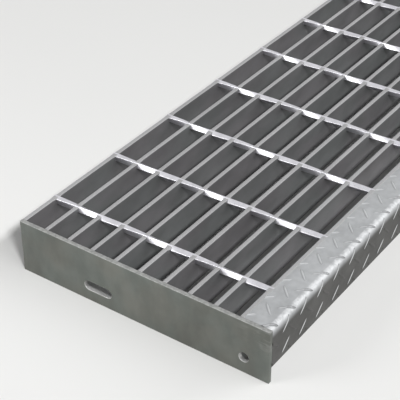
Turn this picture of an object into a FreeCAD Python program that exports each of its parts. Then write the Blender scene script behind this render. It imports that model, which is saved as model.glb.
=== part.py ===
import FreeCAD, Part
import math
import os
import Sketcher

# Stair tread of welded bar grating with a bent checker-plate nosing and two end plates.
# Frame: +X along the tread, the nosing faces -Y, +Z up. The origin is at the middle of
# the tread, on the plane of the end plates' lower edges. All lengths are in millimetres.

Vector = FreeCAD.Vector
Rotation = FreeCAD.Rotation
Placement = FreeCAD.Placement
X_AXIS = Vector(1, 0, 0)
Y_AXIS = Vector(0, 1, 0)
Z_AXIS = Vector(0, 0, 1)
HALF_TURN = 180

# Where a lug's cross sections stand, as shares of the way from its middle to its tips. A lug
# that lies flat needs only the first and the last.
LUG_STATIONS = (-0.65, 0, 0.65)

DIMENSIONS = {
    "tread_length": 914.4,         # over the outer faces of the end plates
    "bar_count": 10,
    "bar_pitch": 30.16,
    "bar_thickness": 4.76,
    "bar_depth": 31.75,
    "cross_bar_count": 9,          # evenly along the tread
    "cross_bar_shift": 4.76,       # of the whole run of cross bars, towards the right end
    "cross_bar_side": 6.35,
    "cross_bar_sink": 3.3,         # from the walking plane down to the cross bar's axis
    "cross_bar_overhang": 1.2,     # past the rear bar
    "quarter_turn_bars": 3,        # bar pitches in a quarter turn of the twist
    "upright_bar": 3,              # the bar, from the rear, where a corner stands upright
    "facets_per_pitch": 3,         # flat steps of the twist from bar to bar
    "plate_thickness": 4.76,
    "plate_height": 63.5,
    "hole_diameter": 11.1,
    "hole_setback": 28.6,          # from the plate's front edge
    "hole_drop": 44.45,            # from the plate's top edge
    "slot_spacing": 177.8,         # hole centre to slot centre
    "slot_length": 34.9,
    "nosing_reach": 31.75,         # from the front bar to the face of the lip
    "lip_depth": 46,
    "sheet_thickness": 3.2,
    "bend_radius": 7,              # on the outside of the bend
    "lug_length": 20,
    "lug_width": 5.6,              # at the root, within the sheet
    "lug_height": 1.2,
    "lug_sink": 0.5,               # how far a lug's root goes into the sheet
    "lug_lean": 44,                # degrees from the nosing's length
    "lug_pitch": 31.4,             # along a row
    "lug_row_spacing": 12.7,       # from row to row, over the bend
    "lug_row_setback": 0.9,        # first row's centres, behind the sheet's rear edge
    "lug_start": 4.4,              # first lug's centre, from the left plate
    "lug_stagger": 19.1,           # from a row's lugs to the next row's, along the nosing
    "weld_leg": 3.2,
    "weld_length": 19,
    "nosing_weld_count": 6,        # evenly along the tread, half a pitch from its ends
}

doc = FreeCAD.newDocument("stair_tread")
sheet = doc.addObject("Spreadsheet::Sheet", "dims")
for row, (alias, value) in enumerate(DIMENSIONS.items(), start=1):
    sheet.set(f"A{row}", alias)
    sheet.set(f"B{row}", str(value))
    sheet.setAlias(f"B{row}", alias)
doc.recompute()

# Sizes that several pieces share, as expressions on the sheet's cells.
SPAN = "(dims.tread_length - 2 * dims.plate_thickness)"
GRATING_DEPTH = "((dims.bar_count - 1) * dims.bar_pitch + dims.bar_thickness)"
PLATE_DEPTH = f"({GRATING_DEPTH} + dims.nosing_reach)"
REAR = f"({PLATE_DEPTH} / 2)"
FRONT = f"(-{PLATE_DEPTH} / 2)"


def size(alias):
    """The number in one of the sheet's cells."""
    return float(sheet.get(alias))


def count(alias):
    """The whole number in one of the sheet's cells."""
    return round(size(alias))


def span():
    """Clear length between the end plates."""
    return size("tread_length") - 2 * size("plate_thickness")


def grating_depth():
    """From the rear bar's rear face to the front bar's front face."""
    return (count("bar_count") - 1) * size("bar_pitch") + size("bar_thickness")


def front_face():
    """Y of the plane of the plates' front edges and the lip's face."""
    return -(grating_depth() + size("nosing_reach")) / 2


def bind(item, **expressions):
    """Binds an object's properties to the sheet; x, y and z stand for its place."""
    for name, expression in expressions.items():
        path = f"Placement.Base.{name}" if name in ("x", "y", "z") else name
        item.setExpression(path, expression)
    return item


def spaced_along(how_many, index):
    """Expression for the X of one of several like pieces, spaced evenly along the tread."""
    return f"(({index} + 0.5) / dims.{how_many} - 0.5) * dims.tread_length"


def new_sketch(body, name):
    """An empty sketch on a body's own YZ plane: sketch x is Y, sketch y is Z."""
    plane = next(f for f in body.Origin.OriginFeatures if f.Role == "YZ_Plane")
    sketch = body.newObject("Sketcher::SketchObject", name)
    sketch.AttachmentSupport = [(plane, "")]
    sketch.MapMode = "FlatFace"
    return sketch


def constrain(sketch, *constraints):
    """Adds plain constraints, each a tuple such as ("Horizontal", 0)."""
    sketch.addConstraint([Sketcher.Constraint(*parts) for parts in constraints])


def dimension(sketch, name, expression, *parts):
    """Adds a named dimension to a sketch and binds it to an expression."""
    index = sketch.addConstraint(Sketcher.Constraint(*parts))
    sketch.renameConstraint(index, name)
    sketch.setExpression(f"Constraints.{name}", expression)


def arc(centre, radius, start, end):
    """A circular arc in the sketch plane, anticlockwise between two angles in degrees."""
    circle = Part.Circle(centre, Z_AXIS, radius)
    return Part.ArcOfCircle(circle, math.radians(start), math.radians(end))


def end_plate(label, left_face):
    """A flat carrier plate with a bolt hole near its front and a slot near its rear."""
    body = doc.addObject("PartDesign::Body", label)
    bind(body, x=left_face, y=FRONT, z="dims.plate_height")

    depth = -2 * front_face()
    height = size("plate_height")
    corners = [Vector(0, 0), Vector(0, -height), Vector(depth, -height), Vector(depth, 0)]
    outline = new_sketch(body, f"{label}_outline")
    for index, corner in enumerate(corners):
        outline.addGeometry(Part.LineSegment(corner, corners[(index + 1) % 4]), False)
    for index in range(4):
        constrain(outline, ("Coincident", index, 2, (index + 1) % 4, 1))
    constrain(outline, ("Vertical", 0), ("Horizontal", 1), ("Vertical", 2), ("Horizontal", 3))
    constrain(outline, ("Coincident", 0, 1, -1, 1))
    dimension(outline, "height", "dims.plate_height", "DistanceY", 0, 2, 0, 1, height)
    dimension(outline, "depth", PLATE_DEPTH, "DistanceX", 1, 1, 1, 2, depth)
    plate = body.newObject("PartDesign::Pad", f"{label}_plate")
    plate.Profile = outline
    bind(plate, Length="dims.plate_thickness")

    radius = size("hole_diameter") / 2
    hole = Vector(size("hole_setback"), -size("hole_drop"))
    middle = hole + Vector(size("slot_spacing"), 0)
    reach = Vector(size("slot_length") / 2 - radius, 0)
    rise = Vector(0, radius)
    holes = new_sketch(body, f"{label}_bolt_holes")
    holes.addGeometry(Part.Circle(hole, Z_AXIS, radius), False)
    holes.addGeometry(arc(middle - reach, radius, 90, 270), False)
    holes.addGeometry(Part.LineSegment(middle - reach - rise, middle + reach - rise), False)
    holes.addGeometry(arc(middle + reach, radius, -90, 90), False)
    holes.addGeometry(Part.LineSegment(middle + reach + rise, middle - reach + rise), False)
    constrain(
        holes,
        ("Tangent", 1, 2, 2, 1),
        ("Tangent", 2, 2, 3, 1),
        ("Tangent", 3, 2, 4, 1),
        ("Tangent", 4, 2, 1, 1),
        ("Horizontal", 2),
        ("Equal", 0, 1),
        ("Horizontal", 0, 3, 1, 3),
    )
    slot_front = "dims.hole_setback + dims.slot_spacing - (dims.slot_length - dims.hole_diameter) / 2"
    dimension(holes, "diameter", "dims.hole_diameter", "Diameter", 0, 2 * radius)
    dimension(holes, "setback", "dims.hole_setback", "DistanceX", -1, 1, 0, 3, hole.x)
    dimension(holes, "drop", "dims.hole_drop", "DistanceY", 0, 3, -1, 1, -hole.y)
    dimension(holes, "slot_front", slot_front, "DistanceX", -1, 1, 1, 3, (middle - reach).x)
    dimension(
        holes, "slot_travel", "dims.slot_length - dims.hole_diameter", "DistanceX", 1, 3, 3, 3, 2 * reach.x
    )
    doc.recompute()
    bolt_holes = body.newObject("PartDesign::Pocket", f"{label}_holes")
    bolt_holes.Profile = holes
    bolt_holes.Type = "ThroughAll"
    bolt_holes.Reversed = True
    return body


def solid(faces):
    """A closed solid from the flat faces round it."""
    body = Part.Solid(Part.Shell(faces))
    if body.Volume < 0:
        body.reverse()
    return body


def triangle(*corners):
    """A flat three-cornered face."""
    return Part.Face(Part.makePolygon([*corners, corners[0]]))


def twisted_ring(distance):
    """The four corners of a cross bar's section, at a distance from its rear end."""
    upright = first_bar_centre() + (size("upright_bar") - 1) * size("bar_pitch")
    turn_rate = math.radians(90) / (size("quarter_turn_bars") * size("bar_pitch"))
    corner_radius = size("cross_bar_side") / math.sqrt(2)
    angles = [(distance - upright) * turn_rate + quarter * math.radians(90) for quarter in range(4)]
    return [Vector(corner_radius * math.sin(a), -distance, corner_radius * math.cos(a)) for a in angles]


def first_bar_centre():
    """Distance from a cross bar's rear end to the middle of the rear bearing bar."""
    return size("cross_bar_overhang") + size("bar_thickness") / 2


def twisted_bar_shape():
    """A square bar twisted about its axis, its rear end at the origin, running along -Y.

    The twist goes in flat steps, and each bearing bar lies within one step.
    """
    step = size("bar_pitch") / size("facets_per_pitch")
    length = grating_depth() + size("cross_bar_overhang")
    first = first_bar_centre() + step / 2
    steps = math.ceil((length - first) / step)
    rings = [twisted_ring(0)]
    rings += [twisted_ring(first + index * step) for index in range(steps)]
    rings.append(twisted_ring(length))
    faces = [Part.Face(Part.makePolygon([*ring, ring[0]])) for ring in (rings[0], rings[-1])]
    for near, far in zip(rings, rings[1:]):
        for side in range(4):
            after = (side + 1) % 4
            faces.append(triangle(near[side], near[after], far[side]))
            faces.append(triangle(near[after], far[after], far[side]))
    return solid(faces)


def cross_bar(label, index, shape):
    """One twisted cross bar, let into the bearing bars, in its place along the tread."""
    bar = doc.addObject("Part::Feature", label)
    bar.Shape = shape
    bind(
        bar,
        x=f"{spaced_along('cross_bar_count', index)} + dims.cross_bar_shift",
        y=f"{REAR} + dims.cross_bar_overhang",
        z="dims.plate_height - dims.cross_bar_sink",
    )
    return bar


def bearing_bar(label, index, cross_bars):
    """A flat bearing bar, forged round each cross bar; index 0 is the rear bar."""
    blank = doc.addObject("Part::Box", f"{label}_blank")
    bind(
        blank,
        Length=SPAN,
        Width="dims.bar_thickness",
        Height="dims.bar_depth",
        x=f"-{SPAN} / 2",
        y=f"{REAR} - dims.bar_thickness - {index} * dims.bar_pitch",
        z="dims.plate_height - dims.bar_depth",
    )
    bar = doc.addObject("Part::Cut", label)
    bar.Base = blank
    bar.Tool = cross_bars
    return bar


def nosing_sheet():
    """The nosing's plain bent sheet, between the end plates."""
    reach = size("nosing_reach")
    lip = size("lip_depth")
    thickness = size("sheet_thickness")
    radius = size("bend_radius")
    centre = Vector(radius, -radius)

    body = doc.addObject("PartDesign::Body", "nosing_sheet")
    bind(body, x=f"-{SPAN} / 2", y=FRONT, z="dims.plate_height")
    profile = new_sketch(body, "nosing_profile")
    profile.addGeometry(Part.LineSegment(Vector(reach, 0), Vector(radius, 0)), False)
    profile.addGeometry(arc(centre, radius, 90, 180), False)
    profile.addGeometry(Part.LineSegment(Vector(0, -radius), Vector(0, -lip)), False)
    profile.addGeometry(Part.LineSegment(Vector(0, -lip), Vector(thickness, -lip)), False)
    profile.addGeometry(Part.LineSegment(Vector(thickness, -lip), Vector(thickness, -radius)), False)
    profile.addGeometry(arc(centre, radius - thickness, 90, 180), False)
    profile.addGeometry(Part.LineSegment(Vector(radius, -thickness), Vector(reach, -thickness)), False)
    profile.addGeometry(Part.LineSegment(Vector(reach, -thickness), Vector(reach, 0)), False)
    constrain(
        profile,
        ("Tangent", 0, 2, 1, 1),
        ("Tangent", 1, 2, 2, 1),
        ("Coincident", 2, 2, 3, 1),
        ("Coincident", 3, 2, 4, 1),
        ("Tangent", 4, 2, 5, 2),
        ("Tangent", 5, 1, 6, 1),
        ("Coincident", 6, 2, 7, 1),
        ("Coincident", 7, 2, 0, 1),
        ("Coincident", 1, 3, 5, 3),
        ("PointOnObject", 0, 1, -1),
        ("PointOnObject", 2, 2, -2),
        ("Horizontal", 0),
        ("Vertical", 2),
        ("Horizontal", 3),
        ("Vertical", 7),
    )
    dimension(profile, "reach", "dims.nosing_reach", "DistanceX", -1, 1, 0, 1, reach)
    dimension(profile, "lip", "dims.lip_depth", "DistanceY", 2, 2, -1, 1, lip)
    dimension(profile, "bend", "dims.bend_radius", "Radius", 1, radius)
    dimension(profile, "thickness", "dims.sheet_thickness", "DistanceY", 7, 1, 7, 2, thickness)
    pad = body.newObject("PartDesign::Pad", "nosing_bend")
    pad.Profile = profile
    bind(pad, Length=SPAN)
    return body


def on_sheet(along, over, height):
    """A point above the nosing: along it, over the bend from its rear edge, and up from it."""
    radius = size("bend_radius")
    flat = size("nosing_reach") - radius
    bend = radius * math.pi / 2
    top = size("plate_height")
    turn = min(max(over - flat, 0), bend) / radius
    back = max(flat - over, 0)
    down = max(over - flat - bend, 0)
    y = front_face() + radius - (radius + height) * math.sin(turn) + back
    z = top - radius + (radius + height) * math.cos(turn) - down
    return Vector(along, y, z)


def reaches_bend(over):
    """Whether lugs in the row at this distance over the sheet wrap onto its bend."""
    tip = size("lug_length") / 2 * math.sin(math.radians(size("lug_lean")))
    flat = size("nosing_reach") - size("bend_radius")
    return flat - tip < over < flat + size("bend_radius") * math.pi / 2 + tip


def lug(along, over, lean):
    """A lens-shaped lug with a ridge, faceted from tip to tip along the sheet.

    Its half width follows one minus the fourth power of the way to a tip, and its height the root of that.
    """
    half_length = size("lug_length") / 2
    half_width = size("lug_width") / 2
    rise = size("lug_height") + size("lug_sink")
    angle = math.radians(size("lug_lean"))

    def point(station, offset, height):
        forward = station * half_length
        x = along + forward * math.cos(angle) - offset * math.sin(angle)
        u = over + lean * (forward * math.sin(angle) + offset * math.cos(angle))
        return on_sheet(x, u, height - size("lug_sink"))

    def section(station):
        swell = 1 - station ** 4
        left = point(station, -half_width * swell, 0)
        ridge = point(station, 0, rise * math.sqrt(swell))
        right = point(station, half_width * swell, 0)
        return [left, ridge, right]

    stations = LUG_STATIONS if reaches_bend(over) else LUG_STATIONS[::2]
    sections = [section(station) for station in stations]
    faces = []
    for tip, end in ((point(-1, 0, 0), sections[0]), (point(1, 0, 0), sections[-1])):
        faces += [triangle(tip, end[side], end[side - 1]) for side in range(3)]
    for near, far in zip(sections, sections[1:]):
        for side in range(3):
            faces.append(triangle(near[side], near[side - 1], far[side]))
            faces.append(triangle(near[side - 1], far[side - 1], far[side]))
    return solid(faces)


def lug_rows():
    """Every lug on the sheet, in rows that lean by turns to one side and the other."""
    sheet_length = (
        size("nosing_reach") + size("lip_depth") - (2 - math.pi / 2) * size("bend_radius")
    )
    pitch = size("lug_pitch")
    lugs = []
    for row in range(math.ceil(sheet_length / size("lug_row_spacing")) + 1):
        over = row * size("lug_row_spacing") - size("lug_row_setback")
        lean = 1 if row % 2 == 0 else -1
        first = size("lug_start") + (row % 2) * size("lug_stagger")
        pattern = lug(-span() / 2 + first, over, lean)
        for step in range(-1, math.ceil(span() / pitch) + 1):
            copy = pattern.copy()
            copy.translate(Vector(step * pitch, 0, 0))
            lugs.append(copy)
    return Part.makeCompound(lugs)


def nosing():
    """The bent checker plate: the sheet with its lugs, which its four edges cut through."""
    raised = doc.addObject("Part::Feature", "lug_rows")
    raised.Shape = lug_rows()
    limit = doc.addObject("Part::Box", "sheet_limit")
    bind(
        limit,
        Length=SPAN,
        Width="dims.nosing_reach + 2 * dims.lug_height",
        Height="dims.lip_depth + 2 * dims.lug_height",
        x=f"-{SPAN} / 2",
        y=f"{FRONT} - 2 * dims.lug_height",
        z="dims.plate_height - dims.lip_depth",
    )
    lugs = doc.addObject("Part::Common", "lugs")
    lugs.Base = raised
    lugs.Tool = limit
    plate = doc.addObject("Part::Fuse", "nosing")
    plate.Base = nosing_sheet()
    plate.Tool = lugs
    return plate


def weld(name, turn, **place):
    """A fillet weld: legs along its own +X and +Y, its length along its own +Z."""
    bead = doc.addObject("Part::Wedge", name)
    bead.Placement = Placement(Vector(), turn)
    for alias in ("Xmin", "Ymin", "Zmin", "X2min", "Z2min", "X2max"):
        setattr(bead, alias, 0)
    bind(
        bead,
        Xmax="dims.weld_leg",
        Ymax="dims.weld_leg",
        Zmax="dims.weld_length",
        Z2max="dims.weld_length",
        **place,
    )
    return bead


def weld_group(label, beads):
    """Like welds, kept together as separate solids."""
    group = doc.addObject("Part::Compound", label)
    group.Links = beads
    return group


def end_welds(label, side):
    """Welds in the corner of each bearing bar's front face and one end plate."""
    beads = []
    foot = "dims.plate_height - dims.bar_depth / 2 - dims.weld_length / 2"
    turn = Rotation(X_AXIS, HALF_TURN) if side < 0 else Rotation(Z_AXIS, HALF_TURN)
    start = f"{foot} + dims.weld_length" if side < 0 else foot
    for index in range(count("bar_count")):
        face = f"{REAR} - dims.bar_thickness - {index} * dims.bar_pitch"
        beads.append(weld(f"{label}_{index}", turn, x=f"{side} * {SPAN} / 2", y=face, z=start))
    return weld_group(label, beads)


def nosing_welds():
    """Welds under the nosing: along the front bar, and where the lip meets the end plates."""
    beads = []
    under = Rotation(-Y_AXIS, -Z_AXIS, X_AXIS, "ZXY")
    for index in range(count("nosing_weld_count")):
        middle = spaced_along("nosing_weld_count", index)
        beads.append(weld(
            f"nosing_weld_{index}",
            under,
            x=f"{middle} - dims.weld_length / 2",
            y=f"{FRONT} + dims.nosing_reach",
            z="dims.plate_height - dims.sheet_thickness",
        ))
    lip_middle = "dims.plate_height - (dims.bend_radius + dims.lip_depth) / 2"
    for side, turn, half in ((-1, Rotation(), "-"), (1, Rotation(Y_AXIS, HALF_TURN), "+")):
        beads.append(weld(
            f"lip_weld_{side}",
            turn,
            x=f"{side} * {SPAN} / 2",
            y=f"{FRONT} + dims.sheet_thickness",
            z=f"{lip_middle} {half} dims.weld_length / 2",
        ))
    return weld_group("nosing_welds", beads)


def build():
    """Makes every piece and returns them, each under the label that names its file."""
    twisted = twisted_bar_shape()
    cross_bars = [
        cross_bar(f"cross_bar_{index + 1:02d}", index, twisted) for index in range(count("cross_bar_count"))
    ]
    crossings = doc.addObject("Part::Compound", "crossings")
    crossings.Links = cross_bars
    bearing_bars = [
        bearing_bar(f"bearing_bar_{index + 1:02d}", index, crossings) for index in range(count("bar_count"))
    ]
    plates = [
        end_plate("left_end_plate", "-dims.tread_length / 2"),
        end_plate("right_end_plate", "dims.tread_length / 2 - dims.plate_thickness"),
    ]
    welds = [end_welds("left_end_welds", -1), end_welds("right_end_welds", 1), nosing_welds()]
    return [*bearing_bars, *cross_bars, *plates, nosing(), *welds]


pieces = build()
doc.recompute()
for item in doc.Objects:
    if "Invalid" in item.State or "Error" in item.State:
        raise RuntimeError(f"{item.Label} failed: {item.State}")
for piece in pieces:
    if piece.Shape.isNull() or not piece.Shape.isValid():
        raise RuntimeError(f"{piece.Label} has no valid shape")

os.makedirs("parts", exist_ok=True)
for piece in pieces:
    piece.Shape.exportStep(f"parts/{piece.Label}.step")
    print(f"{piece.Label}: {len(piece.Shape.Solids)} solids, {piece.Shape.Volume:.0f} mm3")
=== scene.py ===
import math

import bmesh
import bpy
import numpy as np
from mathutils import Matrix, Vector


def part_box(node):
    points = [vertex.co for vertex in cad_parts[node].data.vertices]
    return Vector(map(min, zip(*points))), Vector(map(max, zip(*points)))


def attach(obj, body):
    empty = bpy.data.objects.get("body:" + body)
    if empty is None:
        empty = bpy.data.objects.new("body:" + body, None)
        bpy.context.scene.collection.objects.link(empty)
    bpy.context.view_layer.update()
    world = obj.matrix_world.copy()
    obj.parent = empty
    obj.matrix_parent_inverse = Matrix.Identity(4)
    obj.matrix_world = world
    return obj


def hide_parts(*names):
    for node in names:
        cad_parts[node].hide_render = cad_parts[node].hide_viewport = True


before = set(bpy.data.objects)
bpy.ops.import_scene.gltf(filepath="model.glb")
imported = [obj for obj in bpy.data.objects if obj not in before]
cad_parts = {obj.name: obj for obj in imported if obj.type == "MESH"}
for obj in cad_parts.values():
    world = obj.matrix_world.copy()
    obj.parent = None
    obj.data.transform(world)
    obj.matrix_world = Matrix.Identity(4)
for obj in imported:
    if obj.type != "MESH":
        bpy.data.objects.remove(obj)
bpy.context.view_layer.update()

bl_info = {
    "name": "Bar grating stair tread",
    "version": (1, 0, 0),
    "blender": (4, 5, 0),
    "location": "View3D > Sidebar > Tread",
    "description": "Dresses the tread's solids in galvanised zinc and sets up its studio",
    "category": "Object",
}

# Frame: +X along the tread, the nosing faces -Y, +Z up, floor at z = 0. Lengths in metres.
MM = 0.001
BODY = "root"
BAR_NODES = sorted(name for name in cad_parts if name.startswith("bearing_bar_"))
TWIST_NODES = sorted(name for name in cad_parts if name.startswith("cross_bar_"))

REAR_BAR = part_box(BAR_NODES[0])
FRONT_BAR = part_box(BAR_NODES[-1])
LEFT_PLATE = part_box("left_end_plate")
RIGHT_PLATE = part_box("right_end_plate")
BAR_PITCH = (REAR_BAR[0].y - FRONT_BAR[0].y) / (len(BAR_NODES) - 1)
WALKING_PLANE = LEFT_PLATE[1].z
FRONT_PLANE = LEFT_PLATE[0].y
SPAN = (LEFT_PLATE[1].x, RIGHT_PLATE[0].x)
CROSSINGS = [(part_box(name)[0].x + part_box(name)[1].x) / 2 for name in TWIST_NODES]

# Meshing: spacing of an end plate's points, and how close points are before they are made one.
PLATE_GRID = 2.2 * MM
PLATE_SEAM = 0.002 * MM
LUG_SEAM = 0.001 * MM

# Lamps: where each stands, and how wide and high it is.
KEY_PLACE, KEY_SIZE, KEY_SPREAD = (-1.69, 1.09, 1.13), (0.9, 0.85), math.radians(100)
FRONT_PLACE, FRONT_SIZE = (0, -8.0, 9.0), (36.0, 1.2)
FILL_PLACE, FILL_SIZE = (-5.5, -7.4, 7.7), (1.4, 0.8)

# Camera: where it stands, and its right, up and back axes.
CAMERA_PLACE = (-1.19571, -0.59747, 0.81602)
CAMERA_AXES = (
    (0.57530, -0.81794, -0.00342),
    (0.47116, 0.32798, 0.81880),
    (-0.66860, -0.47266, 0.57407),
)
SENSOR_WIDTH = 36

# Floor: how far it goes each way, and how far it lies below the tread.
FLOOR_REACH = 12
FLOOR_DROP = 0.2 * MM


def length(name, description, default):
    """A length that a user can change."""
    return bpy.props.FloatProperty(
        name=name, description=description, default=default, min=0, precision=5, unit="LENGTH"
    )


def share(name, description, default):
    """A number from 0 to 1 that a user can change."""
    return bpy.props.FloatProperty(
        name=name, description=description, default=default, min=0, max=1, subtype="FACTOR"
    )


def angle(name, description, degrees):
    """An angle that a user can change."""
    return bpy.props.FloatProperty(
        name=name, description=description, default=math.radians(degrees), subtype="ANGLE"
    )


def colour(name, description, default):
    """A linear colour that a user can change."""
    return bpy.props.FloatVectorProperty(
        name=name, description=description, default=default, min=0, max=1, size=3, subtype="COLOR"
    )


def watts(name, description, default):
    """A lamp's power that a user can change."""
    return bpy.props.FloatProperty(
        name=name, description=description, default=default, min=0, unit="POWER"
    )


class TreadSizes(bpy.types.PropertyGroup):
    """Sizes of the softened edges, the twist, the lugs, the holes and the welds."""

    bar_edge: length("Bar edge", "Rounding of a bearing bar's long edges", 0.45 * MM)
    forge_swell: length("Forge swell", "How far a bar's faces swell at a crossing", 0.45 * MM)
    forge_reach: length("Forge reach", "How far the swelling goes along a bar", 5.5 * MM)
    twist_side: length("Twisted bar side", "Side of the square cross bar", 6.35 * MM)
    twist_corner: length("Twisted bar corner", "Rounding of the cross bar's corners", 0.7 * MM)
    twist_sink: length("Twisted bar sink", "Axis below the walking plane", 3.3 * MM)
    quarter_turn_bars: bpy.props.IntProperty(
        name="Bars to a quarter turn", description="Bar pitches in a quarter turn", default=3, min=1
    )
    upright_bar: bpy.props.FloatProperty(
        name="Upright bar",
        description="Where a corner is on top, in bars from the rear",
        default=2.8,
        min=1,
    )
    plate_edge: length("Plate edge", "Rounding of the end plates' edges", 0.5 * MM)
    hole_diameter: length("Hole diameter", "Bolt hole, and the slot's width", 11.1 * MM)
    hole_setback: length("Hole setback", "Hole centre from the plate's front edge", 28.6 * MM)
    hole_drop: length("Hole drop", "Hole centre from the plate's top edge", 44.45 * MM)
    slot_spacing: length("Slot spacing", "Hole centre to slot centre", 177.8 * MM)
    slot_length: length("Slot length", "Slot over its round ends", 34.9 * MM)
    sheet_thickness: length("Sheet thickness", "Nosing sheet", 3.2 * MM)
    sheet_edge: length("Sheet edge", "Rounding of the nosing sheet's edges", 0.5 * MM)
    bend_radius: length("Bend radius", "Outside of the nosing's bend", 7 * MM)
    lip_depth: length("Lip depth", "Nosing's front, from the walking plane", 46 * MM)
    lug_length: length("Lug length", "A lug from tip to tip", 20 * MM)
    lug_width: length("Lug width", "A lug at its widest, at the foot", 4.2 * MM)
    lug_height: length("Lug height", "A lug's crest above the sheet", 0.9 * MM)
    lug_lean: angle("Lug lean", "From the nosing's length", 44)
    lug_pitch: length("Lug pitch", "From lug to lug along a row", 31.4 * MM)
    lug_row_spacing: length("Row spacing", "From row to row, over the bend", 12.7 * MM)
    lug_row_setback: length(
        "Row setback", "First row's centres behind the sheet's rear edge", 0.9 * MM
    )
    lug_start: length("First lug", "First lug's centre from the left plate", 4.4 * MM)
    lug_stagger: length(
        "Lug stagger", "From a row's lugs to the next row's, along the nosing", 19.1 * MM
    )
    lug_clearance: length("Lug clearance", "Bare strip along the lip's lower edge", 2.5 * MM)
    # Dims the painted highlight and shade on the lip's lugs of the second leaning.
    lip_lug_sheen: share("Lip rub", "How rubbed the lip's lugs of the second leaning are", 0.3)
    weld_leg: length("Weld leg", "Legs of the fillet welds", 3.2 * MM)
    weld_length: length("Weld length", "Length of a fillet weld", 19 * MM)
    weld_ripple: length("Weld ripple", "Spacing of the ripples on a weld", 1.9 * MM)
    nosing_weld_count: bpy.props.IntProperty(
        name="Nosing welds",
        description="Welds under the nosing, along the front bar",
        default=6,
        min=1,
    )


class TreadFinishes(bpy.types.PropertyGroup):
    """Colours of the zinc on each kind of piece, some of them painted light and shade: lit tops,
    shaded sides and lip, and highlights on the nosing's bend, its lug crests and the plates' edges
    and holes.
    """

    # Painted light and shade: the bars' tops get a lighter colour and their sides a darker one; the
    # tops are partly rubbed zinc.
    bar_top: colour("Bar tops", "Walked-on zinc along the bars' tops", (0.4, 0.4, 0.405))
    bar_side_shaded: colour("Bar sides", "Duller zinc down the bars' sides", (0.207, 0.208, 0.212))
    twist: colour("Twisted bars", "Bright zinc on the cross bars", (0.71, 0.705, 0.745))
    plate: colour("End plates", "Dull olive-grey zinc on the end plates", (0.173, 0.181, 0.167))
    # Used for rubbed zinc with a painted highlight along the plates' top edges, and for the weld
    # smear.
    plate_edge: colour("Plate edges", "Rubbed zinc along the plates' edges", (0.36, 0.365, 0.355))
    # Painted highlight: the bolt holes' walls get a bright colour.
    hole_wall: colour("Hole walls", "Bright zinc in the bolt holes", (0.62, 0.62, 0.61))
    # Painted light and shade: the nosing's top gets a lighter colour and its lip a darker one; the
    # top is partly walked-on zinc.
    checker_top: colour("Nosing top", "Walked-on zinc on top of the nosing", (0.436, 0.446, 0.456))
    checker_lip_shaded: colour("Nosing lip", "Duller zinc down the nosing's front", (0.082, 0.081, 0.078))
    # Painted highlight on the lug crests and round the bend, partly rubbed zinc.
    lug_crest_sheen: colour("Lug crests", "Rubbed zinc on the lugs", (0.62, 0.63, 0.64))
    bend: colour("Nosing bend", "Rubbed zinc round the nosing's bend", (0.62, 0.63, 0.64))
    weld: colour("Welds", "Zinc over the welds", (0.42, 0.42, 0.41))


class TreadStudio(bpy.types.PropertyGroup):
    """The stage's floor, lamps and lens."""

    floor: colour("Floor", "The plain pale floor", (0.80, 0.80, 0.79))
    backdrop: share("Backdrop", "How pale the room is where it is seen or mirrored", 0.86)
    room_light: share("Room light", "Light from the room on everything", 0.04)
    key_power: watts("Key lamp", "Soft lamp low behind and to the left", 4)
    front_power: watts("Front lamp", "Soft lamp in front and above", 2240)
    fill_power: watts("Fill lamp", "Far lamp off the front left corner, not in reflections", 720)
    lens: bpy.props.FloatProperty(
        name="Lens", description="The camera's focal length", default=111.1, min=1, unit="CAMERA"
    )


def grid_quads(rows, columns, closed):
    """Corner numbers of a grid's quads, row by row; closed joins the last column to the first."""
    index = np.arange(rows * columns).reshape(rows, columns)
    near = index if closed else index[:, :-1]
    far = np.roll(index, -1, axis=1) if closed else index[:, 1:]
    return np.stack([near[:-1], far[:-1], far[1:], near[1:]], axis=-1).reshape(-1, 4)


def faces_out(points, faces):
    """The faces, turned round where the signed volume of the closed shell is negative.

    The volume is a sixth of the sum of corner . (corner x corner) over fans from each face's first.
    """
    volume = 0
    for face in faces:
        ring = points[face]
        volume += np.sum(np.cross(ring[1:-1], ring[2:]) @ ring[0])
    return faces if volume > 0 else [face[::-1] for face in faces]


def tube(rings):
    """Points and faces of a closed shell: rings of points joined in turn, with flat end caps."""
    count, around = rings.shape[:2]
    points = rings.reshape(-1, 3)
    faces = list(grid_quads(count, around, True))
    faces.append(np.arange(around)[::-1])
    faces.append(np.arange(around) + (count - 1) * around)
    return points, faces_out(points, faces)


def spindle(rings):
    """Points and faces of a closed shell whose first and last rings shrink to single points."""
    count, around = rings.shape[:2]
    body = rings[1:-1].reshape(-1, 3)
    first = np.array([[len(body), (i + 1) % around, i] for i in range(around)])
    last = first + (count - 3) * around
    last[:, 0] = len(body) + 1
    points = np.concatenate([body, rings[:1, 0], rings[-1:, 0]])
    faces = [*grid_quads(count - 2, around, True), *first, *last[:, ::-1]]
    return points, faces_out(points, faces)


def joined(shells):
    """Several shells as one list of points and one list of faces."""
    points, faces, start = [], [], 0
    for shell_points, shell_faces in shells:
        points.append(shell_points)
        faces += [face + start for face in shell_faces]
        start += len(shell_points)
    return np.concatenate(points), faces


def new_piece(name, points, faces, material, crease=38):
    """A mesh object at the origin, smooth except over edges sharper than crease degrees."""
    mesh = bpy.data.meshes.new(name)
    mesh.from_pydata(points.tolist(), [], [face.tolist() for face in faces])
    mesh.validate()
    mesh.shade_smooth()
    mesh.set_sharp_from_angle(angle=math.radians(crease))
    mesh.materials.append(material)
    piece = bpy.data.objects.new(name, mesh)
    bpy.context.scene.collection.objects.link(piece)
    return piece


def settle(piece, slot, *nodes):
    """Puts a finished piece on the tread's one body, in place of its CAD nodes."""
    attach(piece, BODY)
    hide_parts(*nodes)


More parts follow.
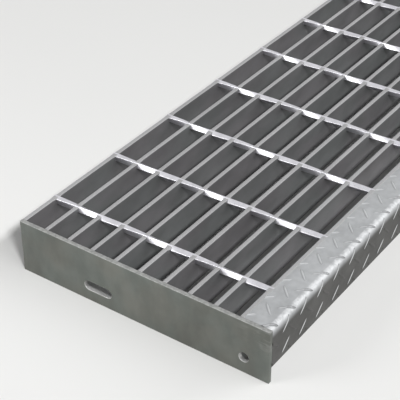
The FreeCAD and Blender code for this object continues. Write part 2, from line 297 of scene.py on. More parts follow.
def rounded_outline(width, height, radius, steps, side_points=()):
    """A rectangle about the origin with quarter-round corners, anticlockwise from the right side.

    side_points are extra points down each upright side, as shares of the height from the top.
    """
    turn = np.linspace(0, math.pi / 2, steps + 1)
    half = np.array([width / 2, height / 2])
    corners = []
    for quarter in range(4):
        middle = (quarter + 0.5) * math.pi / 2
        centre = np.sign([math.cos(middle), math.sin(middle)])
        swing = turn + quarter * math.pi / 2
        arc = radius * np.stack([np.cos(swing), np.sin(swing)], 1)
        corners.append(centre * (half - radius) + arc)
    heights = height / 2 - height * np.array(side_points, float)
    left = np.stack([np.full(len(heights), -width / 2), heights], 1)
    right = left[::-1] * [-1, 1]
    return np.concatenate([corners[0], corners[1], left, corners[2], corners[3], right])


def bar_rings(box, sizes):
    """A bearing bar as rings along X: a rounded flat bar whose faces swell at each crossing.

    The swelling falls off as a bell curve along the bar from the crossing and down from the top.
    """
    low, high = box
    depths = np.array([0.04, 0.075, 0.11, 0.15, 0.2, 0.27, 0.4, 0.7])
    outline = rounded_outline(high.y - low.y, WALKING_PLANE - low.z, sizes.bar_edge, 3, depths)
    steps = np.array([-18, -11, -8, -6, -4.5, -3, -1.5, 0, 1.5, 3, 4.5, 6, 8, 11, 18]) * MM
    along = np.unique(np.concatenate([[low.x, high.x], np.add.outer(CROSSINGS, steps).ravel()]))
    from_crossing = np.abs(np.subtract.outer(along, CROSSINGS)).min(axis=1)
    depth = (WALKING_PLANE - low.z) / 2 - outline[:, 1]
    forge_depth = 1.4 * sizes.forge_reach
    along_bell = np.exp(-np.square(from_crossing / sizes.forge_reach))
    swell = np.outer(along_bell, np.exp(-np.square(depth / forge_depth)))
    across = outline[:, 0] * (1 + swell * sizes.forge_swell / (high.y - low.y) * 2)
    rings = np.empty((len(along), len(outline), 3))
    rings[..., 0] = along[:, None]
    rings[..., 1] = (low.y + high.y) / 2 + across
    rings[..., 2] = (low.z + WALKING_PLANE) / 2 + outline[:, 1]
    return rings


def twist_rings(box, sizes):
    """A cross bar as rings along -Y: a rounded square that turns at an even rate with distance.

    The turn at distance d is (d - upright) times a quarter turn over the bars to a quarter turn.
    The last half millimetre at each end draws in a little, as a sheared end does.
    """
    low, high = box
    distance = np.concatenate([[0, 0.25, 0.6], np.arange(2, (high.y - low.y) / MM - 1.2, 1.6)]) * MM
    distance = np.concatenate([distance, high.y - low.y - np.array([0.6, 0.25, 0]) * MM])
    upright = high.y - (REAR_BAR[0].y + REAR_BAR[1].y) / 2 + (sizes.upright_bar - 1) * BAR_PITCH
    quarter_turn = sizes.quarter_turn_bars * BAR_PITCH
    turn = (distance - upright) * (math.pi / 2) / quarter_turn + math.pi / 4
    draw_in = np.ones(len(distance))
    draw_in[[0, -1]] = 0.86
    draw_in[[1, -2]] = 0.95
    outline = rounded_outline(sizes.twist_side, sizes.twist_side, sizes.twist_corner, 5)
    outline = outline[None] * draw_in[:, None, None]
    cos, sin = np.cos(turn)[:, None], np.sin(turn)[:, None]
    rings = np.empty((len(distance), outline.shape[1], 3))
    rings[..., 0] = (low.x + high.x) / 2 + outline[..., 0] * cos + outline[..., 1] * sin
    rings[..., 1] = high.y - distance[:, None]
    rings[..., 2] = WALKING_PLANE - sizes.twist_sink - outline[..., 0] * sin + outline[..., 1] * cos
    return rings


def slot_outline(bearing, reach, radius):
    """Where rays at these bearings from a slot's middle meet it; reach 0 makes a round hole.

    A ray meets a straight side at radius / |sin|, or a round end at
    reach |cos| + root of (radius squared - reach squared sin squared).
    """
    cos, sin = np.cos(bearing), np.sin(bearing)
    straight = radius / np.maximum(np.abs(sin), 1e-9)
    round_end = reach * np.abs(cos) + np.sqrt(np.maximum(radius**2 - (reach * sin) ** 2, 0))
    ray = np.where(straight * np.abs(cos) <= reach, straight, round_end)
    return np.stack([ray * cos, ray * sin], 1)


def panel_border(low, high, spacing):
    """Points round a rectangle, anticlockwise from its lower left corner."""
    across = np.linspace(low[0], high[0], round((high[0] - low[0]) / spacing) + 1)
    up = np.linspace(low[1], high[1], round((high[1] - low[1]) / spacing) + 1)
    bottom = np.stack([across[:-1], np.full(len(across) - 1, low[1])], 1)
    right = np.stack([np.full(len(up) - 1, high[0]), up[:-1]], 1)
    top = np.stack([across[:0:-1], np.full(len(across) - 1, high[1])], 1)
    left = np.stack([np.full(len(up) - 1, low[0]), up[:0:-1]], 1)
    return np.concatenate([bottom, right, top, left])


def holed_half(faces_x, low, high, joint, middle, reach, radius, edge):
    """Grids for half of an end plate, from its joint with the other half to its outer edge.

    Each face is a grid whose columns go round and whose rows go from the hole to the border. The
    hole's wall and the border are a profile with quarter-round edges, carried round them.
    """
    border = panel_border(low, high, PLATE_GRID)
    offset = border - middle
    bearing = np.arctan2(offset[:, 1], offset[:, 0])
    outward = (np.isclose(border, high) & ~np.isclose(border, joint)).astype(float)
    outward -= np.isclose(border, low) & ~np.isclose(border, joint)
    turn = np.linspace(0, math.pi / 2, 4)
    shell = []

    rows = np.linspace(0, 1, 7)[:, None, None] ** 1.6
    for face in faces_x:
        hole = middle + slot_outline(bearing, reach, radius + edge)
        flat = hole * (1 - rows) + border * rows
        shell.append(np.dstack([np.full(flat.shape[:2], face), flat]))

    inner, outer = min(faces_x), max(faces_x)
    inset = edge * (1 - np.cos(turn))
    wall_x = np.concatenate([inner + inset, outer - inset[::-1]])
    draw = np.concatenate([edge * np.sin(turn), edge * np.sin(turn[::-1])])
    wall = [middle + slot_outline(bearing, reach, radius + edge - d) for d in draw]
    rim = [border + outward * d for d in draw]
    for line in (wall, rim):
        line = np.array(line)
        shell.append(np.dstack([np.broadcast_to(wall_x[:, None], line.shape[:2]), line]))
    return shell


def plate_shell(box, sizes):
    """An end plate's points and faces: two holed halves, sewn where their points meet."""
    edge = sizes.plate_edge
    low = np.array([box[0].y, box[0].z]) + edge
    high = np.array([box[1].y, box[1].z]) - edge
    hole = np.array([box[0].y + sizes.hole_setback, box[1].z - sizes.hole_drop])
    slot = hole + [sizes.slot_spacing, 0]
    joint = (hole[0] + slot[0]) / 2
    radius = sizes.hole_diameter / 2
    reach = sizes.slot_length / 2 - radius
    faces_x = (box[0].x, box[1].x)
    halves = [
        (low, np.array([joint, high[1]]), hole, 0),
        (np.array([joint, low[1]]), high, slot, reach),
    ]
    shells = []
    for near, far, middle, half_reach in halves:
        grids = holed_half(faces_x, near, far, [joint, np.inf], middle, half_reach, radius, edge)
        for grid in grids:
            points, quads = grid.reshape(-1, 3), grid_quads(*grid.shape[:2], True)
            in_joint = np.isclose(points[quads][:, :, 1], joint).all(axis=1)
            shells.append((points, list(quads[~in_joint])))
    return sewn(loose_mesh(*joined(shells)), PLATE_SEAM)


def loose_mesh(points, faces):
    """A bmesh of these points and faces."""
    mesh = bmesh.new()
    corners = [mesh.verts.new(point) for point in points]
    for face in faces:
        mesh.faces.new([corners[i] for i in face])
    return mesh


def sewn(mesh, seam):
    """A bmesh's points and faces, and its end.

    Points closer than the seam are made one, empty faces dropped and every face turned out.
    """
    bmesh.ops.remove_doubles(mesh, verts=mesh.verts, dist=seam)
    bmesh.ops.dissolve_degenerate(mesh, edges=mesh.edges, dist=seam)
    bmesh.ops.recalc_face_normals(mesh, faces=mesh.faces)
    mesh.verts.index_update()
    points = np.array([corner.co[:] for corner in mesh.verts])
    faces = [np.array([corner.index for corner in face.verts]) for face in mesh.faces]
    mesh.free()
    return points, faces


def sheet_reach(sizes):
    """The nosing sheet's flat length, over the bend, from its rear edge to the lip's lower edge."""
    flat = FRONT_BAR[0].y - FRONT_PLANE - sizes.bend_radius
    return flat + sizes.bend_radius * math.pi / 2 + sizes.lip_depth - sizes.bend_radius


def on_sheet(along, over, height, sizes):
    """Points above the nosing: along it, over the bend from its rear edge, and up from its face.

    Over the bend the distance over is an angle about its axis, and height adds to its radius.
    """
    radius = sizes.bend_radius
    flat = FRONT_BAR[0].y - FRONT_PLANE - radius
    bend = radius * math.pi / 2
    turn = np.clip(over - flat, 0, bend) / radius
    back = np.maximum(flat - over, 0)
    down = np.maximum(over - flat - bend, 0)
    y = FRONT_PLANE + radius - (radius + height) * np.sin(turn) + back
    z = WALKING_PLANE - radius + (radius + height) * np.cos(turn) - down
    return np.stack(np.broadcast_arrays(along, y, z), -1)


def sheet_rings(sizes):
    """The nosing's plain sheet as rings along X: an outline of its two faces and rounded edges."""
    reach, edge, thickness = sheet_reach(sizes), sizes.sheet_edge, sizes.sheet_thickness
    flat = FRONT_BAR[0].y - FRONT_PLANE - sizes.bend_radius
    bend = flat + np.linspace(0, 1, 19) * sizes.bend_radius * math.pi / 2
    over = np.concatenate([[flat / 2], bend, [(bend[-1] + reach) / 2]])
    turn = np.linspace(0, math.pi / 2, 4)
    rear = np.stack([edge * (1 - np.sin(turn)), edge * (np.cos(turn) - 1)], 1)[::-1]
    lower = np.stack([reach - edge * (1 - np.sin(turn)), edge * (np.cos(turn) - 1)], 1)
    under = [0, -thickness]
    face = np.stack([over, np.zeros(len(over))], 1)
    back = np.stack([over[::-1], np.full(len(over), -thickness)], 1)
    outline = np.concatenate([
        rear, face, lower, lower[::-1] * [1, -1] + under, back, rear[::-1] * [1, -1] + under
    ])
    along = np.linspace(*SPAN, 41)
    return on_sheet(along[:, None], outline[None, :, 0], outline[None, :, 1], sizes)


def lug_rings(lean, sizes):
    """One lug about the origin as rings from tip to tip, in sheet coordinates along, over and up.

    With s = 1 - a to the fourth at a share a of the way to a tip, its half width goes as s to the
    0.6 and its height as the root of s times the squared cosine across, so its foot meets the
    sheet smoothly.
    """
    stations = np.sin(np.linspace(-1, 1, 9) * math.pi / 2)[:, None]
    swell = np.maximum(1 - stations**4, 0)
    across = np.array([-1, -0.62, -0.3, 0, 0.3, 0.62, 1])
    offset = sizes.lug_width / 2 * swell**0.6 * across
    rise = sizes.lug_height * np.sqrt(swell) * np.square(np.cos(across * math.pi / 2)) - 0.02 * MM
    offset = np.append(offset, np.zeros((len(stations), 1)), axis=1)
    rise = np.append(rise, -0.3 * MM * np.sqrt(swell), axis=1)
    forward = stations * sizes.lug_length / 2
    cos, sin = math.cos(sizes.lug_lean), math.sin(sizes.lug_lean)
    along = forward * cos - offset * sin
    over = lean * (forward * sin + offset * cos)
    return np.stack([along, over, rise], -1)


def lug_shells(sizes):
    """Every lug, in rows that lean by turns to one side and the other.

    They are cut off at the sheet's ends and rear edge, and above the bare strip along the lip's
    lower edge. Also returns each point's share of a lug's height, less on the lip's second leaning,
    which the nosing's finish uses for painted highlight and shade on the lugs.
    """
    reach = sheet_reach(sizes)
    shells, lit_and_rubbed = [], []
    for row in range(math.ceil(reach / sizes.lug_row_spacing) + 1):
        lean = 1 if row % 2 == 0 else -1
        lug, faces = spindle(lug_rings(lean, sizes))
        first = SPAN[0] + sizes.lug_start + (row % 2) * sizes.lug_stagger
        over = row * sizes.lug_row_spacing - sizes.lug_row_setback
        steps = range(-1, math.ceil((SPAN[1] - SPAN[0]) / sizes.lug_pitch) + 1)
        lugs = [(lug + [first + step * sizes.lug_pitch, over, 0], faces) for step in steps]
        points, faces = cut_to(*joined(lugs), (SPAN[0], 0), (SPAN[1], reach - sizes.lug_clearance))
        shells.append((on_sheet(*points.T, sizes), faces))
        # Painted highlight is dimmed on the lip's lugs of the second leaning.
        dimmed_leaning = lean > 0 and over > reach / 2
        lit_and_rubbed.append(points[:, 2] / sizes.lug_height * (sizes.lip_lug_sheen if dimmed_leaning else 1))
    return *joined(shells), np.concatenate(lit_and_rubbed)


def cut_to(points, faces, low, high):
    """The shells cut off flat outside a rectangle in two coordinates, and closed there."""
    cut = loose_mesh(points, faces)
    for axis in range(2):
        for limit, side in ((low[axis], -1), (high[axis], 1)):
            place, normal = Vector((0, 0, 0)), Vector((0, 0, 0))
            place[axis], normal[axis] = limit, side
            every = [*cut.verts, *cut.edges, *cut.faces]
            made = bmesh.ops.bisect_plane(
                cut, geom=every, dist=LUG_SEAM, plane_co=place, plane_no=normal, clear_outer=True
            )
            rims = [item for item in made["geom_cut"] if isinstance(item, bmesh.types.BMEdge)]
            bmesh.ops.holes_fill(cut, edges=rims, sides=0)
    return sewn(cut, LUG_SEAM)


def bead_rings(run, legs, sizes, seed):
    """A fillet weld along its third axis, its root at the origin and legs on the first two.

    The face runs straight from leg to leg and bulges as a half sine, more on each ripple. A ripple
    is a cosine of the distance along, lagging at the middle of the face, so ripples are crescents.
    """
    along = np.linspace(0, 1, max(12, round(run / sizes.weld_ripple * 5)))[:, None]
    over = np.linspace(0, 1, 9)[None, :]
    taper = np.power(np.maximum(1 - np.abs(2 * along - 1) ** 5, 0), 0.5)
    lag = 0.45 * sizes.weld_ripple * np.sin(over * math.pi)
    ripple = np.cos((along * run - lag) / sizes.weld_ripple * 2 * math.pi)
    wander = 0.08 * np.sin(along * 9 + seed) + 0.05 * np.sin(along * 23 + 2.3 * seed)
    leg = (1 + wander) * taper
    bulge = legs[0] * (0.2 + 0.055 * ripple) * np.sin(over * math.pi) * taper
    first = legs[0] * leg * (1 - over) + bulge * 0.7
    second = legs[1] * leg * over + bulge * 0.7
    root = -0.1 * legs[0] * taper
    first = np.append(first, root, axis=1)
    second = np.append(second, root, axis=1)
    third = np.broadcast_to(along * run, first.shape)
    return np.stack([first, second, third], -1)


def weld_bead(run, legs, axes, place, sizes, seed):
    """A fillet weld's points and faces, its legs and run turned to axes and moved to a place."""
    points, faces = spindle(bead_rings(run, legs, sizes, seed))
    points = points @ np.array(axes, float) + np.array(place)
    return points, faces_out(points, faces)


class TreeNodes:
    """Adds nodes to the node tree of a material or a world."""

    def __init__(self, owner):
        owner.use_nodes = True
        self.tree = owner.node_tree

    def first(self, kind):
        """The tree's first node of a kind."""
        return next(node for node in self.tree.nodes if node.type == kind)

    def add(self, kind, settings=(), **inputs):
        """A new node with its settings, and its named inputs linked or set."""
        node = self.tree.nodes.new(kind)
        for name, value in dict(settings).items():
            setattr(node, name, value)
        for name, value in inputs.items():
            self.feed(node.inputs[name.replace("_", " ")], value)
        return node

    def feed(self, socket, value):
        """Links the socket to a value that varies, or sets it to one that doesn't."""
        if isinstance(value, bpy.types.NodeSocket):
            self.tree.links.new(value, socket)
        else:
            socket.default_value = value

    def work(self, operation, first, second=0.0):
        """Arithmetic on one value or two."""
        node = self.add("ShaderNodeMath", {"operation": operation})
        self.feed(node.inputs[0], first)
        self.feed(node.inputs[1], second)
        return node.outputs[0]

    def times(self, value, *others):
        """Values multiplied together."""
        for other in others:
            value = self.work("MULTIPLY", value, other)
        return value


class FinishNodes(TreeNodes):
    """Adds one finish's nodes to a new material, reading Object coordinates."""

    def __init__(self, name):
        self.material = bpy.data.materials.new(name)
        super().__init__(self.material)
        self.shader = self.first("BSDF_PRINCIPLED")
        self.place = self.add("ShaderNodeTexCoord").outputs["Object"]
        _, self.y, self.z = self.add("ShaderNodeSeparateXYZ", Vector=self.place).outputs

    def clouds(self, scale, detail=3.0, stretch=(1, 1, 1), rough=0.5):
        """Soft random cloud, from 0 to 1, with features about one over scale metres across."""
        place = self.add("ShaderNodeMapping", Vector=self.place, Scale=stretch).outputs["Vector"]
        noise = {"Scale": scale, "Detail": detail, "Roughness": rough}
        return self.add("ShaderNodeTexNoise", Vector=place, **noise).outputs["Fac"]

    def from_slot(self, middle, reach):
        """Distance in the YZ plane from a line along Y, with its middle and its reach each way."""
        past = self.work("ABSOLUTE", self.work("SUBTRACT", self.y, middle[0]))
        past = self.work("MAXIMUM", self.work("SUBTRACT", past, reach), 0)
        up = self.work("SUBTRACT", self.z, middle[1])
        return self.work("SQRT", self.work("ADD", self.times(past, past), self.times(up, up)))

    def spread(self, value, low, high, to_low=0.0, to_high=1.0):
        """The value from low to high, eased onto a new range and held at its ends."""
        ends = {"From_Min": low, "From_Max": high, "To_Min": to_low, "To_Max": to_high}
        eased = {"interpolation_type": "SMOOTHSTEP"}
        return self.add("ShaderNodeMapRange", eased, Value=value, **ends).outputs["Result"]

    def mix(self, amount, first, second, blend="MIX"):
        """One colour going over to another."""
        node = self.add("ShaderNodeMix", {"data_type": "RGBA", "blend_type": blend})
        self.feed(node.inputs[0], amount)
        for socket, value in ((node.inputs[6], first), (node.inputs[7], second)):
            self.feed(socket, value if isinstance(value, bpy.types.NodeSocket) else (*value, 1))
        return node.outputs[2]

    def shade(self, base, amount):
        """A colour made lighter or darker by a value about 1."""
        grey = self.add("ShaderNodeCombineColor", Red=amount, Green=amount, Blue=amount).outputs[0]
        return self.mix(1.0, base, grey, "MULTIPLY")

    def finish(self, base, roughness, metallic, relief, depth):
        """Gives the shader its colour, roughness, metal and relief."""
        bump = self.add("ShaderNodeBump", Strength=1.0, Distance=depth, Height=relief)
        self.feed(self.shader.inputs["Base Color"], base)
        self.feed(self.shader.inputs["Roughness"], roughness)
        self.feed(self.shader.inputs["Metallic"], metallic)
        self.feed(self.shader.inputs["Normal"], bump.outputs["Normal"])
        return self.material


def bar_zinc(finishes):
    """Bearing bars: rubbed zinc and painted light along the top, painted shade and clouds down the
    sides.
    """
    nodes = FinishNodes("bar_zinc")
    plane = WALKING_PLANE
    clouds = nodes.clouds(26, 4, (0.5, 1, 1))
    grain = nodes.clouds(900, 2)
    # Painted shade: the sides get a darker colour than the tops, made lighter towards the bottom,
    # where the bar in front shades them.
    sides = nodes.shade(finishes.bar_side_shaded, nodes.spread(clouds, 0.3, 0.7, 0.84, 1.16))
    sides = nodes.shade(sides, nodes.spread(nodes.z, plane - 32 * MM, plane - 4 * MM, 1.1, 0.95))
    across = nodes.spread(nodes.clouds(17, 2, (0.5, 3, 1)), 0.35, 0.65)
    tint = nodes.mix(across, (1.022, 0.989, 1.005), (0.982, 1.011, 0.997))
    sides = nodes.mix(1.0, sides, tint, "MULTIPLY")
    tops = nodes.shade(finishes.bar_top, nodes.spread(grain, 0.3, 0.7, 0.9, 1.08))
    tops = nodes.shade(tops, nodes.spread(clouds, 0.3, 0.7, 0.94, 1.05))
    # Painted light: the top band goes over to the lighter top colour.
    lit_and_rubbed = nodes.spread(nodes.z, plane - 0.9 * MM, plane - 0.25 * MM)
    base = nodes.mix(lit_and_rubbed, sides, tops)
    roughness = nodes.spread(clouds, 0.25, 0.75, 0.5, 0.38)
    roughness = nodes.work("ADD", roughness, nodes.times(lit_and_rubbed, 0.22))
    relief = nodes.work("ADD", nodes.times(clouds, 0.4), nodes.times(grain, 0.06))
    metallic = nodes.spread(lit_and_rubbed, 0, 1, 0.45, 0.5)
    return nodes.finish(base, roughness, metallic, relief, 0.2 * MM)


def twist_zinc(finishes):
    """Twisted cross bars: bright zinc with small dull flecks and faint runs."""
    nodes = FinishNodes("twist_zinc")
    grain = nodes.clouds(700, 3)
    clouds = nodes.clouds(90, 3)
    base = nodes.shade(finishes.twist, nodes.spread(clouds, 0.3, 0.7, 0.9, 1.06))
    base = nodes.shade(base, nodes.spread(grain, 0.28, 0.42, 0.82, 1.0))
    roughness = nodes.spread(clouds, 0.3, 0.7, 0.38, 0.3)
    relief = nodes.work("ADD", clouds, nodes.times(grain, 0.15))
    return nodes.finish(base, roughness, 0.95, relief, 0.12 * MM)


def plate_zinc(finishes, sizes):
    """End plates: dull olive-grey zinc, clouded, with painted highlight in the holes and rubbed
    zinc with painted highlight along the top edge.
    """
    nodes = FinishNodes("plate_zinc")
    low, high = LEFT_PLATE
    clouds = nodes.clouds(16, 4)
    patches = nodes.clouds(48, 3, (1, 1, 0.6))
    grain = nodes.clouds(320, 3)
    base = nodes.shade(finishes.plate, nodes.spread(clouds, 0.3, 0.7, 0.9, 1.1))
    base = nodes.shade(base, nodes.spread(patches, 0.35, 0.65, 0.92, 1.08))
    across = nodes.spread(nodes.clouds(22, 2), 0.35, 0.65)
    tint = nodes.mix(across, (0.98, 1.015, 1.01), (1.02, 1.0, 0.975))
    base = nodes.mix(1.0, base, tint, "MULTIPLY")
    near_front = nodes.spread(nodes.y, low.y + 50 * MM, low.y + 8 * MM)
    near_top = nodes.spread(nodes.z, high.z - 34 * MM, high.z - 18 * MM)
    streaks = nodes.spread(nodes.clouds(60, 4, (1, 0.8, 2.6), 0.6), 0.5, 0.66)
    smear = nodes.times(near_front, near_top, streaks, 0.3)
    base = nodes.mix(smear, base, finishes.plate_edge)
    # Rubbed zinc and painted highlight along the top edge.
    top_edge = nodes.spread(nodes.z, high.z - 0.7 * MM, high.z - 0.2 * MM)
    edge = nodes.shade(finishes.plate_edge, nodes.spread(grain, 0.35, 0.65, 0.84, 1.12))
    base = nodes.mix(top_edge, base, edge)
    hole = (low.y + sizes.hole_setback, high.z - sizes.hole_drop)
    slot = (hole[0] + sizes.slot_spacing, hole[1])
    radius = sizes.hole_diameter / 2
    # Painted highlight: the holes' walls get a bright colour.
    from_cut = nodes.work(
        "MINIMUM", nodes.from_slot(hole, 0), nodes.from_slot(slot, sizes.slot_length / 2 - radius)
    )
    cut = nodes.spread(from_cut, radius + 0.4 * MM, radius + 0.1 * MM)
    base = nodes.mix(cut, base, finishes.hole_wall)
    roughness = nodes.spread(clouds, 0.25, 0.75, 0.56, 0.44)
    relief = nodes.work("ADD", nodes.times(clouds, 0.3), nodes.times(grain, 0.1))
    return nodes.finish(base, roughness, 0.85, relief, 0.25 * MM)


def checker_zinc(finishes):
    """Nosing: painted light on top and painted shade down the lip, with painted highlights on the
    bend and the lug crests, partly rubbed zinc.
    """
    nodes = FinishNodes("checker_zinc")
    plane = WALKING_PLANE
    clouds = nodes.clouds(30, 4)
    grain = nodes.clouds(800, 2)
    fine = nodes.clouds(160, 3)
    # Painted light and shade: the top gets a lighter colour and the lip a darker one.
    lit_top = nodes.spread(nodes.z, plane - 11 * MM, plane - 1 * MM)
    base = nodes.mix(lit_top, finishes.checker_lip_shaded, finishes.checker_top)
    base = nodes.shade(base, nodes.spread(clouds, 0.28, 0.72, 0.9, 1.09))
    base = nodes.shade(base, nodes.spread(fine, 0.3, 0.7, 0.95, 1.05))
    # The bend gets a mottled band of bright colour, partly worn zinc and partly painted highlight,
    # which stops short of the lip's back.
    bend_wear_and_sheen = nodes.times(
        nodes.work(
            "SUBTRACT",
            nodes.spread(nodes.y, FRONT_PLANE + 0.2 * MM, FRONT_PLANE + 2.8 * MM),
            nodes.spread(nodes.y, FRONT_PLANE + 6 * MM, FRONT_PLANE + 7.8 * MM),
        ),
        nodes.spread(nodes.z, plane - 7 * MM, plane - 4 * MM),
        nodes.spread(fine, 0.34, 0.58, 0.2, 1.0),
        nodes.spread(nodes.clouds(420, 2), 0.3, 0.6, 0.6, 1.0),
    )
    # Painted shade darkens the lugs' flanks on the bend and on top, and a painted highlight, partly
    # rubbed zinc, brightens their crests.
    lug = nodes.add("ShaderNodeAttribute", {"attribute_name": "lit_and_rubbed"}).outputs["Fac"]
    flank = nodes.work("SUBTRACT", nodes.spread(lug, 0.02, 0.2), nodes.spread(lug, 0.6, 0.95))
    base = nodes.mix(nodes.times(bend_wear_and_sheen, nodes.spread(flank, 0, 1, 1.0, 0.2)), base, finishes.bend)
    # Painted shade on the lugs beside the bend.
    by_bend = nodes.spread(nodes.y, FRONT_PLANE + 12 * MM, FRONT_PLANE + 7 * MM)
    base = nodes.shade(base, nodes.spread(nodes.times(lug, by_bend, lit_top), 0, 0.4, 1.0, 0.6))
    base = nodes.shade(base, nodes.spread(nodes.times(flank, lit_top), 0, 1, 1.0, 0.78))
    crest = nodes.times(
        nodes.spread(lug, 0.3, 0.85),
        nodes.spread(lit_top, 0, 1, 0.9, 0.55),
        nodes.spread(bend_wear_and_sheen, 0.1, 0.5, 1.0, 0.15),
    )
    base = nodes.mix(crest, base, finishes.lug_crest_sheen)
    roughness = nodes.spread(clouds, 0.25, 0.75, 0.62, 0.52)
    roughness = nodes.work("ADD", roughness, nodes.times(bend_wear_and_sheen, 0.1))
    relief = nodes.work("ADD", nodes.times(fine, 0.7), nodes.times(grain, 0.06))
    return nodes.finish(base, roughness, 0.5, relief, 0.2 * MM)


def weld_zinc(finishes):
    """Welds: zinc over the ripples, with dull and bright spots."""
    nodes = FinishNodes("weld_zinc")
    spots = nodes.clouds(500, 3)
    clouds = nodes.clouds(120, 3)
    base = nodes.shade(finishes.weld, nodes.spread(spots, 0.3, 0.7, 0.75, 1.25))
    base = nodes.shade(base, nodes.spread(clouds, 0.3, 0.7, 0.85, 1.15))
    roughness = nodes.spread(spots, 0.3, 0.7, 0.6, 0.38)
    return nodes.finish(base, roughness, 0.9, spots, 0.12 * MM)


class TREAD_OT_bearing_bars(bpy.types.Operator):
    """Makes the ten flat bearing bars, swollen where the cross bars are forged in"""

    bl_idname = "tread.bearing_bars"
    bl_label = "Bearing bars"

    def execute(self, context):
        sizes, zinc = context.scene.tread_sizes, bar_zinc(context.scene.tread_finishes)
        for node in BAR_NODES:
            shell = tube(bar_rings(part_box(node), sizes))
            piece = new_piece(node.replace("bearing_", "flat_"), *shell, zinc)
            settle(piece, "bar_zinc", node)
        return {"FINISHED"}


class TREAD_OT_cross_bars(bpy.types.Operator):
    """Makes the nine square cross bars, twisted at an even rate"""

    bl_idname = "tread.cross_bars"
    bl_label = "Cross bars"

    def execute(self, context):
        sizes, zinc = context.scene.tread_sizes, twist_zinc(context.scene.tread_finishes)
        for node in TWIST_NODES:
            shell = tube(twist_rings(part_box(node), sizes))
            piece = new_piece(node.replace("cross_", "twisted_"), *shell, zinc)
            settle(piece, "twist_zinc", node)
        return {"FINISHED"}


class TREAD_OT_end_plates(bpy.types.Operator):
    """Makes the two end plates, each with its bolt hole and slot"""

    bl_idname = "tread.end_plates"
    bl_label = "End plates"

    def execute(self, context):
        sizes = context.scene.tread_sizes
        zinc = plate_zinc(context.scene.tread_finishes, sizes)
        for name, box in (("left", LEFT_PLATE), ("right", RIGHT_PLATE)):
            piece = new_piece(f"{name}_carrier_plate", *plate_shell(box, sizes), zinc)
            settle(piece, "plate_zinc", f"{name}_end_plate")
        return {"FINISHED"}


class TREAD_OT_nosing(bpy.types.Operator):
    """Makes the bent nosing sheet and the lugs that wrap over its bend"""

    bl_idname = "tread.nosing"
    bl_label = "Nosing"

    def execute(self, context):
        sizes, zinc = context.scene.tread_sizes, checker_zinc(context.scene.tread_finishes)
        sheet_points, sheet_faces = tube(sheet_rings(sizes))
        lug_points, lug_faces, lit_and_rubbed = lug_shells(sizes)
        points, faces = joined([(sheet_points, sheet_faces), (lug_points, lug_faces)])
        piece = new_piece("checker_nosing", points, faces, zinc)
        lit_and_rubbed = np.concatenate([np.zeros(len(sheet_points)), lit_and_rubbed])
        attribute = piece.data.attributes.new("lit_and_rubbed", "FLOAT", "POINT")
        attribute.data.foreach_set("value", lit_and_rubbed.astype(np.float32))
        settle(piece, "checker_zinc", "nosing")
        return {"FINISHED"}


class TREAD_OT_welds(bpy.types.Operator):
    """Makes the rippled welds at the bars' ends and under the nosing"""

    bl_idname = "tread.welds"
    bl_label = "Welds"

    def execute(self, context):
        sizes, zinc = context.scene.tread_sizes, weld_zinc(context.scene.tread_finishes)
        legs = (sizes.weld_leg, sizes.weld_leg)
        run = sizes.weld_length
        foot = (FRONT_BAR[0].z + WALKING_PLANE - run) / 2
        for name, end, inward in (("left", SPAN[0], 1), ("right", SPAN[1], -1)):
            beads = []
            for number, node in enumerate(BAR_NODES):
                place = (end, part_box(node)[0].y, foot)
                axes = ((inward, 0, 0), (0, -1, 0), (0, 0, 1))
                beads.append(weld_bead(run, legs, axes, place, sizes, number + inward))
            piece = new_piece(f"{name}_end_beads", *joined(beads), zinc)
            settle(piece, "weld_zinc", f"{name}_end_welds")

        beads = []
        count = sizes.nosing_weld_count
        whole = RIGHT_PLATE[1].x - LEFT_PLATE[0].x
        for number in range(count):
            x = LEFT_PLATE[0].x + (number + 0.5) / count * whole - run / 2
            place = (x, FRONT_BAR[0].y, WALKING_PLANE - sizes.sheet_thickness)
            axes = ((0, -1, 0), (0, 0, -1), (1, 0, 0))
            beads.append(weld_bead(run, legs, axes, place, sizes, number))
        lip_foot = WALKING_PLANE - (sizes.bend_radius + sizes.lip_depth) / 2 - run / 2
        for end, inward in ((SPAN[0], 1), (SPAN[1], -1)):
            place = (end, FRONT_PLANE + sizes.sheet_thickness, lip_foot)
            axes = ((inward, 0, 0), (0, 1, 0), (0, 0, 1))
            beads.append(weld_bead(run, legs, axes, place, sizes, count + 1 + inward))
        piece = new_piece("nosing_beads", *joined(beads), zinc)
        settle(piece, "weld_zinc", "nosing_welds")
        return {"FINISHED"}


class TREAD_OT_stage(bpy.types.Operator):
    """Makes the pale floor, the room's light, three soft lamps and the camera"""

    bl_idname = "tread.stage"
    bl_label = "Stage"

    def execute(self, context):
        studio = context.scene.tread_studio
        context.scene.view_settings.view_transform = "Standard"
        pale_floor(studio)
        pale_room(context.scene, studio)
        key = soft_lamp("key_lamp", KEY_PLACE, KEY_SIZE, studio.key_power)
        key.data.spread = KEY_SPREAD
        soft_lamp("front_lamp", FRONT_PLACE, FRONT_SIZE, studio.front_power)
        fill = soft_lamp("fill_lamp", FILL_PLACE, FILL_SIZE, studio.fill_power)
        fill.visible_glossy = False
        camera(context.scene, studio)
        return {"FINISHED"}


def pale_floor(studio):
    """A wide flat square under the tread."""
    nodes = FinishNodes("floor_paint")
    shade = nodes.spread(nodes.clouds(1.2, 2), 0.2, 0.8, 0.97, 1.0)
    nodes.feed(nodes.shader.inputs["Base Color"], nodes.shade(studio.floor, shade))
    nodes.shader.inputs["Roughness"].default_value = 0.9
    nodes.shader.inputs["Specular IOR Level"].default_value = 0.1
    reach = np.linspace(-FLOOR_REACH, FLOOR_REACH, 3)
    points = np.stack([*np.meshgrid(reach, reach), np.full((3, 3), -FLOOR_DROP)], -1).reshape(-1, 3)
    floor = new_piece("floor", points, list(grid_quads(3, 3, False)), nodes.material)


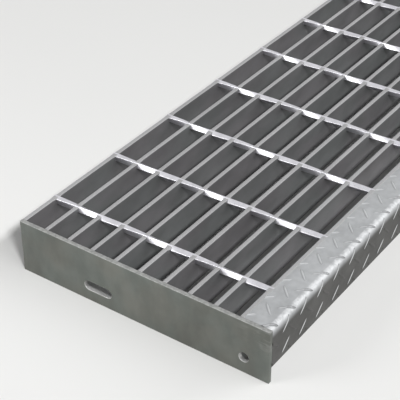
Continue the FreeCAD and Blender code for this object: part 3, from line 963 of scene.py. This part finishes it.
def pale_room(scene, studio):
    """A room that is pale where it is seen or mirrored, and lights the tread more gently."""
    room = bpy.data.worlds.new("pale_room")
    nodes = TreeNodes(room)
    light = nodes.first("BACKGROUND")
    light.inputs["Color"].default_value = (1, 1, 1, 1)
    ray = nodes.add("ShaderNodeLightPath").outputs
    direct = nodes.work("LESS_THAN", ray["Diffuse Depth"], 0.5)
    mirrored = nodes.times(ray["Is Glossy Ray"], direct)
    shown = nodes.work("MAXIMUM", ray["Is Camera Ray"], mirrored)
    shown = nodes.work("MAXIMUM", shown, ray["Is Transmission Ray"])
    ends = {"To_Min": studio.room_light, "To_Max": studio.backdrop}
    strength = nodes.add("ShaderNodeMapRange", Value=shown, **ends)
    nodes.feed(light.inputs["Strength"], strength.outputs["Result"])
    scene.world = room


def soft_lamp(name, place, size, power):
    """A rectangular lamp that faces the middle of the tread."""
    lamp = bpy.data.lights.new(name, "AREA")
    lamp.shape = "RECTANGLE"
    lamp.size, lamp.size_y = size
    lamp.energy = power
    holder = bpy.data.objects.new(name, lamp)
    holder.location = place
    holder.rotation_euler = (-Vector(place)).to_track_quat("-Z", "Y").to_euler()
    bpy.context.scene.collection.objects.link(holder)
    return holder


def camera(scene, studio):
    """The camera, off the tread's front left corner and above it, turned by its three axes."""
    eye = bpy.data.objects.new("camera", bpy.data.cameras.new("camera"))
    eye.data.sensor_width = SENSOR_WIDTH
    eye.data.lens = studio.lens
    eye.matrix_world = Matrix.LocRotScale(
        Vector(CAMERA_PLACE), Matrix(CAMERA_AXES).transposed(), None
    )
    scene.collection.objects.link(eye)
    scene.camera = eye


class TREAD_PT_sidebar(bpy.types.Panel):
    """Lists the tread's pieces and the sizes, colours and lamps that can be changed"""

    bl_idname = "TREAD_PT_sidebar"
    bl_label = "Stair tread"
    bl_space_type = "VIEW_3D"
    bl_region_type = "UI"
    bl_category = "Tread"

    def draw(self, context):
        layout = self.layout
        for operator in OPERATORS:
            layout.operator(operator.bl_idname)
        for group in (getattr(context.scene, name) for name in GROUPS):
            column = layout.column(align=True)
            for name in group.__annotations__:
                column.prop(group, name)


GROUPS = {"tread_sizes": TreadSizes, "tread_finishes": TreadFinishes, "tread_studio": TreadStudio}
OPERATORS = (
    TREAD_OT_bearing_bars,
    TREAD_OT_cross_bars,
    TREAD_OT_end_plates,
    TREAD_OT_nosing,
    TREAD_OT_welds,
    TREAD_OT_stage,
)
CLASSES = (*GROUPS.values(), *OPERATORS, TREAD_PT_sidebar)


def register():
    for kind in CLASSES:
        bpy.utils.register_class(kind)
    for name, group in GROUPS.items():
        setattr(bpy.types.Scene, name, bpy.props.PointerProperty(type=group))


def unregister():
    for name in GROUPS:
        delattr(bpy.types.Scene, name)
    for kind in reversed(CLASSES):
        bpy.utils.unregister_class(kind)


def main():
    """Builds every piece and the stage."""
    register()
    bpy.ops.tread.bearing_bars()
    bpy.ops.tread.cross_bars()
    bpy.ops.tread.end_plates()
    bpy.ops.tread.nosing()
    bpy.ops.tread.welds()
    bpy.ops.tread.stage()


if __name__ == "__main__":
    main()
